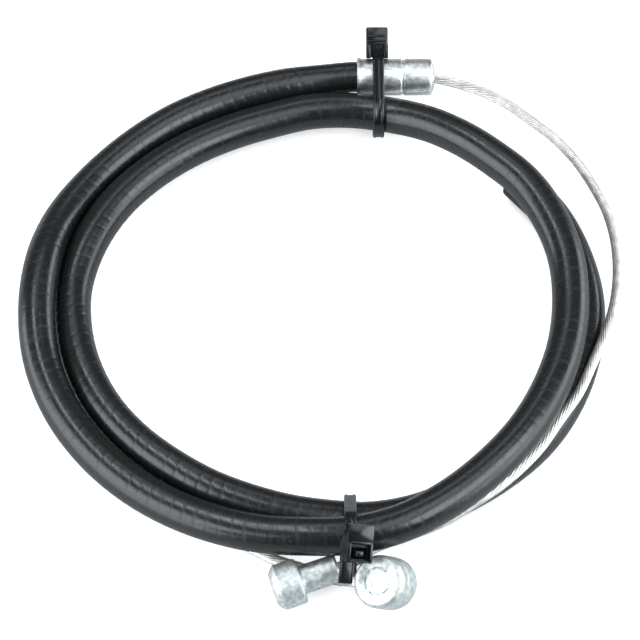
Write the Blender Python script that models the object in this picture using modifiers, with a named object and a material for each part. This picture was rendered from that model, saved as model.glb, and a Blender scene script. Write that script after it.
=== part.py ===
# Inner wire with a barrel and a pear nipple in a coiled black casing, held by two cable ties.
# Metres, +Z up. The coil lies on the floor as in the photo, which looks along +Y from above.
import math

import bmesh
import bpy
from mathutils import Matrix, Vector

MM = 0.001

# Casing, from the outside in
CASING_D = 5.5 * MM
JACKET_WALL = 0.45 * MM
WINDING_WALL = 0.45 * MM
LINER_WALL = 0.3 * MM
LAYER_GAP = 0.2 * MM
STRAND_GAP = 0.15 * MM
WIRE_D = 1.5 * MM
FIT_GAP = 0.3 * MM
NECK = 0.86

# Coil: rows are angle, distance out from COIL_R and height above the floor, both in strand pitches
COIL_R = 38.0 * MM
ROUTE_STEP = 6.0 * MM
BARE_STEP = 5.0 * MM

# Ferrule
FERRULE_LENGTH = 12.0 * MM
FERRULE_COVER = 5.1 * MM
FERRULE_WALL = 0.3 * MM
FERRULE_LIP = 0.12 * MM

# Nipples
BARREL_D = 7.5 * MM
BARREL_LENGTH = 6.4 * MM
PEAR_HEAD_D = 6.6 * MM
PEAR_HEAD_LENGTH = 4.2 * MM
PEAR_NECK_D = 4.1 * MM
PEAR_LENGTH = 9.7 * MM
HOLE_DEPTH = 3.2 * MM

# Cable ties
STRAP_WIDTH = 1.75 * MM
STRAP_THICK = 0.7 * MM
HEAD_THICK = 2.9 * MM
TOP_TIE_ALONG = 3.26 * MM
BOTTOM_TIE_ALONG = 1.7 * MM

PITCH = CASING_D + STRAND_GAP
JACKET_R = CASING_D / 2
WINDING_R = JACKET_R - JACKET_WALL - LAYER_GAP
LINER_R = WINDING_R - WINDING_WALL - LAYER_GAP
WIRE_R = WIRE_D / 2
HOLE_R = WIRE_R + FIT_GAP

CASING_ROWS = [
    (73.5, 0.87, 0.43), (81, 0.65, 0.43), (93, 0.35, 0.40), (103, 0.23, 0.38), (112, 0.19, 0.35),
    (122, 0.18, 0.33), (134, 0.20, 0.27), (147, 0.27, 0.26), (160, 0.36, 0.40), (174, 0.37, 0.73),
    (186, 0.44, 0.74), (197, 0.53, 0.59), (208, 0.57, 0.47), (220, 0.58, 0.40), (231, 0.58, 0.38),
    (242, 0.60, 0.43), (252, 0.66, 0.56), (261, 0.73, 0.70), (269, 0.79, 0.85), (277, 0.87, 0.93),
    (287, 0.84, 0.98), (297, 0.67, 1.0), (309, 0.46, 1.0), (321, 0.31, 0.99), (333, 0.18, 0.96),
    (345, 0.10, 0.94), (357, 0.04, 0.93), (368, 0.01, 0.96), (379, -0.08, 1.0), (390, -0.19, 1.02),
    (400, -0.34, 0.96), (410, -0.39, 0.84), (420, -0.38, 0.65), (430, -0.40, 0.45), (440, -0.45, 0.36),
    (450, -0.58, 0.35), (461, -0.77, 0.33), (473, -0.85, 0.32), (485, -0.85, 0.32), (497, -0.80, 0.33),
    (510, -0.73, 0.35), (523, -0.65, 0.33), (536, -0.53, 0.24), (549, -0.47, 0.27), (561, -0.45, 0.32),
    (573, -0.44, 0.32), (584, -0.45, 0.32), (596, -0.45, 0.32), (606, -0.39, 0.32), (616, -0.30, 0.32),
    (625, -0.17, 0.31), (634, -0.02, 0.29), (642, 0.14, 0.24), (651, 0.22, 0.15), (661, 0.24, 0.05),
    (672, 0.32, 0.01), (684, 0.45, 0.0), (696, 0.50, 0.0), (708, 0.52, 0.0), (720, 0.52, 0.0),
    (732, 0.44, 0.0), (744, 0.34, 0.0), (756, 0.14, 0.0)]
# Bare wire from beside the pear nipple, over the coil's right side, to the ferrule
FIRST_ROWS = [
    (-81.0, 1.22, 0.68), (-78.7, 1.02, 0.67), (-75.8, 0.92, 0.66), (-73, 0.89, 0.66), (-70.1, 0.86, 0.67),
    (-66.6, 0.85, 0.68), (-62.8, 0.84, 0.70), (-59.1, 0.79, 0.73), (-55.2, 0.79, 0.76), (-50.9, 0.80, 0.80),
    (-46.1, 0.80, 0.84), (-39.8, 0.79, 0.90), (-31.9, 0.75, 0.96), (-24.3, 0.82, 0.94), (-17.6, 0.86, 0.92),
    (-11.2, 0.97, 0.85), (-5.2, 1.12, 0.73), (0.9, 1.28, 0.68), (7.1, 1.43, 0.67), (13.5, 1.56, 0.68),
    (19.8, 1.65, 0.68), (26.1, 1.68, 0.68), (32.3, 1.71, 0.68), (38.3, 1.70, 0.68), (44.2, 1.65, 0.67),
    (49.7, 1.63, 0.68), (54.6, 1.58, 0.69), (58.9, 1.48, 0.70), (62.3, 1.36, 0.74)]
# Wire from the casing's other end, under the strands and round the left to the barrel nipple
SECOND_ROWS = [
    (41, 0.14, 0.33), (48, 0.16, 0.26), (56, 0.20, 0.22), (65, 0.23, 0.29), (74.5, 0.19, 0.38),
    (82, 0.04, 0.30), (90, -0.12, 0.22), (100, -0.27, 0.17), (112, -0.34, 0.15), (125, -0.34, 0.13),
    (138, -0.28, 0.12), (150, -0.21, 0.12), (162, -0.14, 0.12), (174, -0.09, 0.12), (186, -0.02, 0.12),
    (198, 0.04, 0.12), (210, 0.05, 0.12), (222, 0.05, 0.12), (232, 0.07, 0.10), (240, 0.08, 0.06),
    (247, 0.15, 0.02), (253, 0.35, 0.0), (258.9, 0.61, 0.0), (263.3, 0.82, 0.0), (268, 1.0, 0.0),
    (271.9, 1.22, 0.02), (273.6, 1.36, 0.07), (275.0, 1.50, 0.17), (276.2, 1.60, 0.30)]

# Nipples' places: how far out from COIL_R, and across from the coil's middle
PEAR_OUT = 7.8 * MM
PEAR_MOUTH = Vector((3.9 * MM, -COIL_R - PEAR_OUT, 4.6 * MM))
PEAR_TURN = math.radians(197.5)
BARREL_OUT = 9.05 * MM
BARREL_BASE = Vector((PEAR_MOUTH.x + 7.9 * MM, -COIL_R - BARREL_OUT, 0.0))
BARREL_LEAN = math.radians(34.0)
BARREL_TURN = math.radians(226.4)
BARREL_WIRE_TURN = math.radians(35.0)


def clear_scene():
    for ob in list(bpy.data.objects):
        bpy.data.objects.remove(ob, do_unlink=True)


def place(rows, rest_r):
    """Rows of angle, outward pitch and lift to points; rest_r is the strand's own radius."""
    points = []
    for angle, out, lift in rows:
        a = math.radians(angle)
        r = COIL_R + out * PITCH
        points.append(Vector((r * math.cos(a), r * math.sin(a), rest_r + lift * PITCH)))
    return points


def smooth(points, step, before=None, after=None):
    """Even points, about a step apart, on a smooth curve; before and after lead into its ends."""
    ends = [before or points[0] * 2 - points[1]] + points + [after or points[-1] * 2 - points[-2]]
    dense = []
    for i in range(1, len(ends) - 2):
        p0, p1, p2, p3 = ends[i - 1:i + 3]
        d0, d1, d2 = (p1 - p0).length, (p2 - p1).length, (p3 - p2).length
        m1 = ((p2 - p1) / d1 * d0 + (p1 - p0) / d0 * d1) / (d0 + d1) * d1
        m2 = ((p3 - p2) / d2 * d1 + (p2 - p1) / d1 * d2) / (d1 + d2) * d1
        for k in range(12):
            t = k / 12
            dense.append((2 * t**3 - 3 * t**2 + 1) * p1 + (t**3 - 2 * t**2 + t) * m1
                         + (3 * t**2 - 2 * t**3) * p2 + (t**3 - t**2) * m2)
    dense.append(points[-1])
    run = [0.0]
    for a, b in zip(dense, dense[1:]):
        run.append(run[-1] + (b - a).length)
    count = max(2, round(run[-1] / step))
    out = []
    j = 0
    for i in range(count + 1):
        s = run[-1] * i / count
        while j < len(run) - 2 and run[j + 1] < s:
            j += 1
        t = (s - run[j]) / (run[j + 1] - run[j])
        out.append(dense[j].lerp(dense[j + 1], min(1.0, t)))
    return out


def baked(ob):
    """The object's mesh with its modifiers or curve settings worked out."""
    bpy.context.view_layer.update()
    graph = bpy.context.evaluated_depsgraph_get()
    mesh = bpy.data.meshes.new_from_object(ob.evaluated_get(graph))
    mesh.transform(ob.matrix_world)
    name = ob.name
    bpy.data.objects.remove(ob, do_unlink=True)
    mesh.name = name
    new = bpy.data.objects.new(name, mesh)
    parts.objects.link(new)
    return new


def tube(name, points, radius, sides, scales=None, wall=0.0):
    """Round cord along the points; with a wall it is a hollow tube open at both ends."""
    data = bpy.data.curves.new(name, 'CURVE')
    data.dimensions = '3D'
    data.bevel_depth = radius
    data.bevel_resolution = sides // 2 - 2
    data.use_fill_caps = wall == 0.0
    spline = data.splines.new('POLY')
    spline.points.add(len(points) - 1)
    for i, p in enumerate(points):
        spline.points[i].co = (*p, 1.0)
        spline.points[i].radius = scales[i] if scales else 1.0
    ob = bpy.data.objects.new(name, data)
    parts.objects.link(ob)
    ob = baked(ob)
    weld(ob)
    if wall:
        skin = ob.modifiers.new('wall', 'SOLIDIFY')
        skin.thickness = wall
        skin.offset = -1.0
        skin.use_even_offset = True
        skin.use_rim = True
        ob = baked(ob)
    return ob


def weld(ob, distance=1e-6):
    """Join the loose rims and turn every face outward."""
    bm = bmesh.new()
    bm.from_mesh(ob.data)
    bmesh.ops.remove_doubles(bm, verts=bm.verts, dist=distance)
    bmesh.ops.recalc_face_normals(bm, faces=bm.faces)
    bm.to_mesh(ob.data)
    bm.free()


def turned(name, profile, steps, closed, pose):
    """Profile of radius and height spun about Z, then moved by the pose."""
    mesh = bpy.data.meshes.new(name)
    edges = [(i, i + 1) for i in range(len(profile) - 1)]
    if closed:
        edges.append((len(profile) - 1, 0))
    mesh.from_pydata([(r, 0.0, z) for r, z in profile], edges, [])
    ob = bpy.data.objects.new(name, mesh)
    parts.objects.link(ob)
    spin = ob.modifiers.new('spin', 'SCREW')
    spin.steps = steps
    spin.render_steps = steps
    spin.use_merge_vertices = True
    spin.merge_threshold = 1e-6
    ob = baked(ob)
    weld(ob)
    ob.data.transform(pose)
    return ob


def pose_along(origin, axis):
    """Pose whose local Z runs along the axis from the origin."""
    return Matrix.Translation(origin) @ Vector((0, 0, 1)).rotation_difference(axis).to_matrix().to_4x4()


def block(name, low, high, pose, bevel=0.0):
    """Box between two local corners, moved by the pose."""
    low, high = Vector(low), Vector(high)
    bm = bmesh.new()
    size = Matrix.Diagonal((*(high - low), 1.0))
    bmesh.ops.create_cube(bm, size=1.0, matrix=Matrix.Translation((low + high) / 2) @ size)
    mesh = bpy.data.meshes.new(name)
    bm.to_mesh(mesh)
    bm.free()
    ob = bpy.data.objects.new(name, mesh)
    parts.objects.link(ob)
    if bevel:
        edge = ob.modifiers.new('edge', 'BEVEL')
        edge.width = bevel
        edge.segments = 2
        ob = baked(ob)
    ob.data.transform(pose)
    return ob


def combine(ob, other, operation):
    """Boolean of two bodies; the second one is used up."""
    mod = ob.modifiers.new('join', 'BOOLEAN')
    mod.object = other
    mod.operation = operation
    mod.solver = 'EXACT'
    ob = baked(ob)
    bpy.data.objects.remove(other, do_unlink=True)
    return ob


def finish(ob, colour, metallic, roughness, sharp=35):
    mat = bpy.data.materials.new(ob.name)
    mat.use_nodes = True
    shader = mat.node_tree.nodes['Principled BSDF']
    shader.inputs['Base Color'].default_value = (*colour, 1.0)
    shader.inputs['Metallic'].default_value = metallic
    shader.inputs['Roughness'].default_value = roughness
    ob.data.materials.clear()
    ob.data.materials.append(mat)
    ob.data.shade_smooth()
    ob.data.set_sharp_from_angle(angle=math.radians(sharp))


def hull(circles, offset, count=44):
    """Outline round the circles, kept the given distance outside them."""
    out = []
    for i in range(count):
        a = 2 * math.pi * i / count
        n = Vector((math.cos(a), math.sin(a)))
        c, r = max(circles, key=lambda k: k[0].dot(n) + k[1])
        out.append(c + n * (r + offset))
    return out


def strap(name, circles, pose):
    """Flat loop round the circles: a filled ring outline drawn in local XY, given width along Z."""
    data = bpy.data.curves.new(name, 'CURVE')
    data.dimensions = '2D'
    data.fill_mode = 'BOTH'
    data.extrude = STRAP_WIDTH / 2
    for offset in (FIT_GAP, FIT_GAP + STRAP_THICK):
        outline = hull(circles, offset)
        spline = data.splines.new('POLY')
        spline.use_cyclic_u = True
        spline.points.add(len(outline) - 1)
        for i, p in enumerate(outline):
            spline.points[i].co = (p.x, p.y, 0.0, 1.0)
    ob = bpy.data.objects.new(name, data)
    parts.objects.link(ob)
    ob = baked(ob)
    weld(ob)
    ob.data.transform(pose)
    return ob


def plane_pose(origin, across, upward):
    """Pose whose local X runs across, local Y upward and local Z along the bundle."""
    x = across.normalized()
    y = upward.normalized()
    z = x.cross(y)
    return Matrix.Translation(origin) @ Matrix((x, y, z)).transposed().to_4x4()


def section(points, pose, near):
    """Where a route crosses the pose's plane, nearest to a local point."""
    inverse = pose.inverted()
    local = [inverse @ p for p in points]
    hits = []
    for a, b in zip(local, local[1:]):
        if a.z * b.z <= 0 and a.z != b.z:
            hits.append(a.lerp(b, a.z / (a.z - b.z)).to_2d())
    return min(hits, key=lambda h: (h - near).length)


clear_scene()
parts = bpy.data.collections.new('shift_cable')
bpy.context.scene.collection.children.link(parts)

# Routes. The wire's ends lie inside the nipples, and it runs down the middle of the casing
casing_points = place(CASING_ROWS, JACKET_R)
pear_axis = Vector((math.cos(PEAR_TURN), math.sin(PEAR_TURN), 0.0))
pear_tilt = math.asin((PEAR_MOUTH.z - PEAR_HEAD_D / 2) / PEAR_LENGTH)
pear_axis = pear_axis * math.cos(pear_tilt) - Vector((0, 0, math.sin(pear_tilt)))
pear_start = [PEAR_MOUTH + pear_axis * (HOLE_DEPTH - FIT_GAP), PEAR_MOUTH, PEAR_MOUTH - pear_axis * 0.8 * WIRE_D]

lean = Vector((math.cos(BARREL_TURN), math.sin(BARREL_TURN), 0.0))
barrel_axis = lean * math.sin(BARREL_LEAN) + Vector((0, 0, math.cos(BARREL_LEAN)))
barrel_rear = BARREL_BASE + Vector((0, 0, BARREL_D / 2 * math.sin(BARREL_LEAN)))
barrel_mid = barrel_rear + barrel_axis * BARREL_LENGTH / 2
barrel_side = Matrix.Rotation(BARREL_WIRE_TURN, 3, barrel_axis) @ barrel_axis.cross(Vector((0, 0, 1))).normalized()
if barrel_side.x > 0:
    barrel_side = -barrel_side
barrel_end = [barrel_mid + barrel_side * (BARREL_D / 2 + 0.8 * WIRE_D), barrel_mid + barrel_side * BARREL_D / 2,
              barrel_mid + barrel_side * (BARREL_D / 2 - HOLE_DEPTH + FIT_GAP)]

casing_route = smooth(casing_points, ROUTE_STEP)
nose = casing_points[0] + Vector((FERRULE_LENGTH - FERRULE_COVER, -0.6 * FIT_GAP, -0.5 * FIT_GAP))
first = pear_start[:2] + smooth(pear_start[2:] + place(FIRST_ROWS, WIRE_R) + [nose, casing_points[0]], BARE_STEP,
                                before=pear_start[1], after=casing_points[1])
second_points = place(SECOND_ROWS, WIRE_R)
second = smooth([casing_points[-1]] + second_points[:-3], BARE_STEP, before=casing_points[-2],
                after=second_points[-3]) + second_points[-3:] + barrel_end
wire_route = first[:-1] + casing_route + second[1:]

# Casing: the jacket, the flat steel spiral and the liner; the end under the ferrule is squeezed
squeeze = []
for i in range(len(casing_route)):
    t = min(1.0, max(0.0, (i * ROUTE_STEP - 1.7 * FERRULE_COVER) / (1.6 * FERRULE_COVER)))
    squeeze.append(NECK + (1 - NECK) * t * t * (3 - 2 * t))
jacket = tube('casing_jacket', casing_route, JACKET_R, 10, squeeze, JACKET_WALL)
finish(jacket, (0.012, 0.013, 0.015), 0.0, 0.38)
winding = tube('casing_winding', casing_route, WINDING_R, 10, squeeze, WINDING_WALL)
finish(winding, (0.42, 0.43, 0.44), 1.0, 0.4)
liner = tube('casing_liner', casing_route, LINER_R, 10, squeeze, LINER_WALL)
finish(liner, (0.75, 0.75, 0.72), 0.0, 0.45)

wire = tube('inner_wire', wire_route, WIRE_R, 8)
finish(wire, (0.62, 0.62, 0.60), 1.0, 0.3)

# Ferrule: turned cap, squeezed on the casing's end, with a small hole for the wire in its nose
cup_r = JACKET_R * NECK + LAYER_GAP
skin_r = cup_r + FERRULE_WALL
ferrule_axis = (casing_points[0] - casing_points[1]).normalized()
ferrule_back = casing_points[0] - ferrule_axis * FERRULE_COVER
cup_depth = FERRULE_COVER + FIT_GAP
ferrule_profile = [
    (0.49 * skin_r, FERRULE_LENGTH), (0.95 * skin_r, 0.955 * FERRULE_LENGTH), (skin_r, 0.93 * FERRULE_LENGTH),
    (skin_r, 0.61 * FERRULE_LENGTH), (0.94 * skin_r, 0.60 * FERRULE_LENGTH), (0.94 * skin_r, 0.575 * FERRULE_LENGTH),
    (0.99 * skin_r, 0.565 * FERRULE_LENGTH), (0.99 * skin_r, 0.06 * FERRULE_LENGTH),
    (skin_r + FERRULE_LIP, 0.03 * FERRULE_LENGTH), (skin_r + FERRULE_LIP, 0.0),
    (cup_r, 0.0), (cup_r, cup_depth), (HOLE_R, cup_depth + 0.1 * FERRULE_LENGTH), (HOLE_R, FERRULE_LENGTH)]
ferrule = turned('ferrule', ferrule_profile, 28, True, pose_along(ferrule_back, ferrule_axis))
finish(ferrule, (0.66, 0.67, 0.69), 1.0, 0.32)

# Barrel nipple: short cylinder standing askew, ring groove in its face, the wire let into its side
r, h = BARREL_D / 2, BARREL_LENGTH
barrel_profile = [
    (0.0, h), (0.46 * r, h), (0.48 * r, h - 0.05 * r), (0.54 * r, h - 0.05 * r), (0.56 * r, h),
    (0.88 * r, h), (r, h - 0.12 * r), (r, 0.18 * r), (0.84 * r, 0.0), (0.0, 0.0)]
barrel = turned('barrel_nipple', barrel_profile, 32, False, pose_along(barrel_rear, barrel_axis))
drill = turned('drill', [(0.0, HOLE_DEPTH * 2), (HOLE_R, HOLE_DEPTH * 2), (HOLE_R, 0.0), (0.0, 0.0)], 16, False,
               pose_along(barrel_mid + barrel_side * (BARREL_D / 2 - HOLE_DEPTH), barrel_side))
barrel = combine(barrel, drill, 'DIFFERENCE')
finish(barrel, (0.68, 0.68, 0.68), 1.0, 0.36)

# Pear nipple: head and neck turned in one, with the wire's hole in the neck
head_r, neck_r, h = PEAR_HEAD_D / 2, PEAR_NECK_D / 2, PEAR_LENGTH
shoulder = PEAR_LENGTH - PEAR_HEAD_LENGTH
pear_profile = [
    (0.0, h), (0.78 * head_r, h), (head_r, h - 0.22 * head_r), (head_r, shoulder + 0.1 * head_r),
    (0.92 * head_r, shoulder), (neck_r, shoulder - 0.12 * head_r), (neck_r, 0.1 * neck_r), (0.9 * neck_r, 0.0),
    (HOLE_R, 0.0), (HOLE_R, HOLE_DEPTH), (0.0, HOLE_DEPTH + 0.5 * HOLE_R)]
pear = turned('pear_nipple', pear_profile, 32, False, pose_along(PEAR_MOUTH, pear_axis))
finish(pear, (0.68, 0.68, 0.68), 1.0, 0.36)

# Cable ties: a strap loop drawn round the strands it holds, and a block head on its outer side.
# VIEW_UP and VIEW_OUT turn the heads so that their slotted faces look up and forward
VIEW_UP = Vector((0.0, math.sin(math.radians(56)), math.cos(math.radians(56))))
VIEW_OUT = Vector((0.0, -math.cos(math.radians(56)), math.sin(math.radians(56))))


def tie(name, pose, circles, head_frame, head_size, lift, slot, tongue):
    """Loop, head and the slot in its face as one body; the tongue is what locks the strap."""
    w, l, t = head_size
    s = slot[2] / 2
    ob = block('head', (-w / 2, -l / 2, lift), (w / 2, l / 2, t), head_frame, 0.12 * w)
    ob = combine(ob, block('slot', (-s, slot[0], t - slot[3]), (s, slot[1], 2 * t), head_frame), 'DIFFERENCE')
    if tongue:
        low = slot[0] + 0.1 * (slot[1] - slot[0])
        ob = combine(ob, block('tongue', (-0.8 * s, low, t - 1.5 * slot[3]), (0.8 * s, low + 0.42 * (slot[1] - slot[0]),
                     t - 0.4 * slot[3]), head_frame), 'UNION')
    return combine(strap(name, circles, pose), ob, 'UNION')


def facing(at, turn):
    """Frame of a head: X across, Y up the picture and Z out of it, turned about its Y."""
    axes = Matrix((VIEW_UP.cross(VIEW_OUT), VIEW_UP, VIEW_OUT)).transposed().to_4x4()
    return Matrix.Translation(at) @ axes @ Matrix.Rotation(math.radians(turn), 4, 'Y')


# Top tie: round the ferrule, the strand below it and the hidden wire. Its strap runs up in a
# channel between two rails of the head
top_pose = plane_pose(Vector((ferrule_back.x + TOP_TIE_ALONG, ferrule_back.y, ferrule_back.z)), Vector((0, 1, 0)),
                      Vector((0, 0, 1)))
top_strand = section(casing_route, top_pose, Vector((-1.3 * CASING_D, 0)))
top_wire = section(wire_route, top_pose, Vector((-0.64 * CASING_D, -0.36 * CASING_D)))
top_circles = [(Vector((0.0, 0.0)), skin_r), (top_strand, JACKET_R * 1.02), (top_wire, WIRE_R)]
top_length = 4.6 * MM
top_frame = facing(top_pose.translation + VIEW_UP * (skin_r + FIT_GAP / 2 + top_length / 2)
                   - VIEW_OUT * HEAD_THICK * 0.2, 0)
tie_top = tie('tie_top', top_pose, top_circles, top_frame, (3.3 * MM, top_length, HEAD_THICK), 0.0,
              (-top_length, -0.12 * top_length, 0.5 * 3.3 * MM, 0.2 * HEAD_THICK), False)
finish(tie_top, (0.016, 0.017, 0.02), 0.0, 0.3, 30)

# Bottom tie: round both strands and the bare wire, its head on the upper strand, the cut tail below
bottom_pose = plane_pose(Vector((PEAR_MOUTH.x + BOTTOM_TIE_ALONG, -COIL_R - 0.8 * CASING_D, 1.45 * CASING_D)),
                         Vector((0, 1, 0)), Vector((0, 0, 1)))
bottom_upper = section(casing_route, bottom_pose, Vector((0, 0)))
bottom_lower = section(casing_route, bottom_pose, Vector((0.9 * CASING_D, -0.7 * CASING_D)))
bottom_wire = section(wire_route, bottom_pose, Vector((-0.44 * CASING_D, -0.6 * CASING_D)))
bottom_circles = [(bottom_upper, JACKET_R), (bottom_lower, JACKET_R), (bottom_wire, 1.3 * WIRE_R)]
bottom_length = 5.3 * MM
bottom_frame = facing(bottom_pose @ bottom_upper.to_3d() - VIEW_UP * 0.8 * MM + VIEW_OUT * (JACKET_R + FIT_GAP)
                      + Vector((1.3 * MM, 0, 0)), 12)
tie_bottom = tie('tie_bottom', bottom_pose, bottom_circles, bottom_frame, (3.6 * MM, bottom_length, HEAD_THICK),
                 0.7 * STRAP_THICK, (-0.45 * bottom_length, 0.07 * bottom_length, 2.6 * MM, 0.35 * HEAD_THICK), True)
tail = block('tail', (-2.7 * MM, -bottom_length / 2 - 3.2 * MM, 0.8 * STRAP_THICK),
             (-2.7 * MM + STRAP_WIDTH, -0.3 * bottom_length, 1.8 * STRAP_THICK),
             bottom_frame @ Matrix.Rotation(math.radians(-5), 4, 'Z'))
tie_bottom = combine(tie_bottom, tail, 'UNION')
finish(tie_bottom, (0.016, 0.017, 0.02), 0.0, 0.3, 30)

# The origin lies under the middle of the whole object's box, on the floor
corners = [v.co for ob in parts.objects for v in ob.data.vertices]
low = [min(c[k] for c in corners) for k in range(3)]
high = [max(c[k] for c in corners) for k in range(3)]
shift = Vector((-(low[0] + high[0]) / 2, -(low[1] + high[1]) / 2, -low[2]))
for ob in parts.objects:
    ob.data.transform(Matrix.Translation(shift))
    print(ob.name, len(ob.data.vertices), len(ob.data.polygons))
print('shift mm', [round(v / MM, 4) for v in shift], 'size mm', [round((b - a) / MM, 2) for a, b in zip(low, high)])
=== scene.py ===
import math

import bmesh
import bpy
from mathutils import Matrix, Vector, noise


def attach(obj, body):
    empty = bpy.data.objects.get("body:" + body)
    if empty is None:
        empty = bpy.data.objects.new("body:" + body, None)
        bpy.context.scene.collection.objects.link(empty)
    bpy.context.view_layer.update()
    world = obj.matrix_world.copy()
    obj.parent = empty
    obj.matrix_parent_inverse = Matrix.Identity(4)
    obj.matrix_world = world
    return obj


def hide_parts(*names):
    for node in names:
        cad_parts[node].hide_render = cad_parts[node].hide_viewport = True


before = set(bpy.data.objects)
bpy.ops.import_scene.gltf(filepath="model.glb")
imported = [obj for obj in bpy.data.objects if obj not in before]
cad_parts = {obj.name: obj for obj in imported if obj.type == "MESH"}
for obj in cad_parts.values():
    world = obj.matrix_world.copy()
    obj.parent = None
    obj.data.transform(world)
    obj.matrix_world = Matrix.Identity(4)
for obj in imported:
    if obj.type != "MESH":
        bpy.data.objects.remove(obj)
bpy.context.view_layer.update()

# Camera: a long lens looking along +Y and down on the coil. The coil's own centre on the floor
# lies a little off the part's origin, and every piece below is laid out round that centre.
MM = 0.001
COIL_CENTRE = Vector((-1.7128 * MM, 2.6192 * MM, 0.0079 * MM))
CAMERA_TILT = 34
camera_data = bpy.data.cameras.new("camera")
camera_data.lens = 180
camera_data.sensor_width = 36
camera_data.clip_start = 10 * MM
camera = bpy.data.objects.new("camera", camera_data)
camera.location = COIL_CENTRE + Vector((1.344 * MM, -267.9 * MM, 395.9 * MM))
camera.rotation_euler = (math.radians(CAMERA_TILT), 0, 0)
bpy.context.scene.collection.objects.link(camera)
bpy.context.scene.camera = camera

# Floor and light: a pale sweep in a light tent, with long softboxes whose mirror images are the
# streaks along the black casing. The floor glows for the camera alone, and that glow is dimmed close
# to the part as a painted shadow.
FLOOR_HALF = 2.0
FLOOR_DROP = 0.02 * MM
# Reach of the painted shadow that dims the floor's glow beside the part
PAINTED_SHADOW_REACH = 4 * MM
LAMP_DISTANCE = 0.9


def seen_level(tree, hidden, seen):
    """One level for what the camera sees directly, another for light and mirror images."""
    rays = tree.nodes.new("ShaderNodeLightPath")
    level = tree.nodes.new("ShaderNodeMapRange")
    level.inputs["To Min"].default_value = hidden
    level.inputs["To Max"].default_value = seen
    tree.links.new(rays.outputs["Is Camera Ray"], level.inputs["Value"])
    return level.outputs["Result"]


def maths(tree, operation, *values):
    """Math node whose inputs are sockets or plain numbers."""
    node = tree.nodes.new("ShaderNodeMath")
    node.operation = operation
    for socket, value in zip(node.inputs, values):
        if isinstance(value, bpy.types.NodeSocket):
            tree.links.new(value, socket)
        else:
            socket.default_value = value
    return node.outputs["Value"]


floor_mesh = bpy.data.meshes.new("floor")
floor_mesh.from_pydata(
    [(-FLOOR_HALF, -FLOOR_HALF, 0), (FLOOR_HALF, -FLOOR_HALF, 0), (FLOOR_HALF, FLOOR_HALF, 0),
     (-FLOOR_HALF, FLOOR_HALF, 0)], [], [(0, 1, 2, 3)])
floor = bpy.data.objects.new("floor", floor_mesh)
floor.location.z = -FLOOR_DROP
bpy.context.scene.collection.objects.link(floor)
floor_material = bpy.data.materials.new("floor")
floor_material.use_nodes = True
floor_tree = floor_material.node_tree
floor_shader = floor_tree.nodes["Principled BSDF"]
floor_shader.inputs["Base Color"].default_value = (0.52, 0.53, 0.54, 1)
floor_shader.inputs["Roughness"].default_value = 0.35
floor_shader.inputs["Emission Color"].default_value = (1, 1, 1, 1)
# Painted shadow: ambient occlusion lowers the floor's camera-only glow in gaps and beside the pieces
painted_shadow_occlusion = floor_tree.nodes.new("ShaderNodeAmbientOcclusion")
painted_shadow_occlusion.samples = 4
painted_shadow_occlusion.inputs["Distance"].default_value = PAINTED_SHADOW_REACH
painted_shadow_level = floor_tree.nodes.new("ShaderNodeMapRange")
painted_shadow_level.inputs["From Min"].default_value = 0.16
painted_shadow_level.inputs["From Max"].default_value = 0.40
floor_tree.links.new(painted_shadow_occlusion.outputs["AO"], painted_shadow_level.inputs["Value"])
glow_with_painted_shadow = maths(floor_tree, "MULTIPLY", seen_level(floor_tree, 0.0, 0.86), painted_shadow_level.outputs["Result"])
floor_tree.links.new(glow_with_painted_shadow, floor_shader.inputs["Emission Strength"])
floor_mesh.materials.append(floor_material)

tent = bpy.data.worlds.new("tent")
bpy.context.scene.world = tent
tent.use_nodes = True
tent_shader = tent.node_tree.nodes["Background"]
tent_shader.inputs["Color"].default_value = (1, 1, 1, 1)
tent.node_tree.links.new(seen_level(tent.node_tree, 0.18, 1.0), tent_shader.inputs["Strength"])

# Each box: degrees from straight up towards +X and towards +Y, its width round the vertical and
# its height, both in degrees, its turn, its brightness against white, and its tint
for name, across, away, width, height, roll, shine, tint in (
        ("left_box", -49, -20, 42, 26, 0, 5.0, (0.90, 0.96, 1.0)),
        ("left_spill", -79, -20, 76, 34, 0, 4.2, (0.90, 0.96, 1.0)),
        ("right_box", 44.5, -20, 46, 30, 0, 6.4, (0.89, 0.96, 1.0)),
        ("overhead", 14, -5, 46, 22, 0, 2.8, (0.88, 0.95, 1.0)),
        ("right_spill", 81, 6, 76, 30, 0, 4.2, (0.89, 0.96, 1.0)),
        ("strip", -17, 13, 36, 7, 47, 9.5, (0.92, 0.97, 1.0)),
        ("strip_end", -6, 35, 26, 10, 47, 1.7, (0.92, 0.97, 1.0)),
        ("back", -4, 44, 40, 22, 0, 0.25, (0.88, 0.95, 1.0))):
    tip = math.radians(math.hypot(across, away))
    bearing = math.atan2(away, across)
    towards = Vector((math.sin(tip) * math.cos(bearing), math.sin(tip) * math.sin(bearing), math.cos(tip)))
    lamp = bpy.data.lights.new(name, "AREA")
    lamp.shape = "RECTANGLE"
    lamp.size = 2 * LAMP_DISTANCE * math.tan(math.radians(width) / 2)
    lamp.size_y = 2 * LAMP_DISTANCE * math.tan(math.radians(height) / 2)
    lamp.energy = shine * math.pi * lamp.size * lamp.size_y
    lamp.color = tint
    lamp_object = bpy.data.objects.new(name, lamp)
    lamp_object.matrix_world = (Matrix.Translation(towards * LAMP_DISTANCE)
                                @ (-towards).to_track_quat("-Z", "Y").to_matrix().to_4x4()
                                @ Matrix.Rotation(math.radians(roll), 4, "Z"))
    bpy.context.scene.collection.objects.link(lamp_object)
bpy.context.scene.view_settings.view_transform = "Standard"

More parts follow.
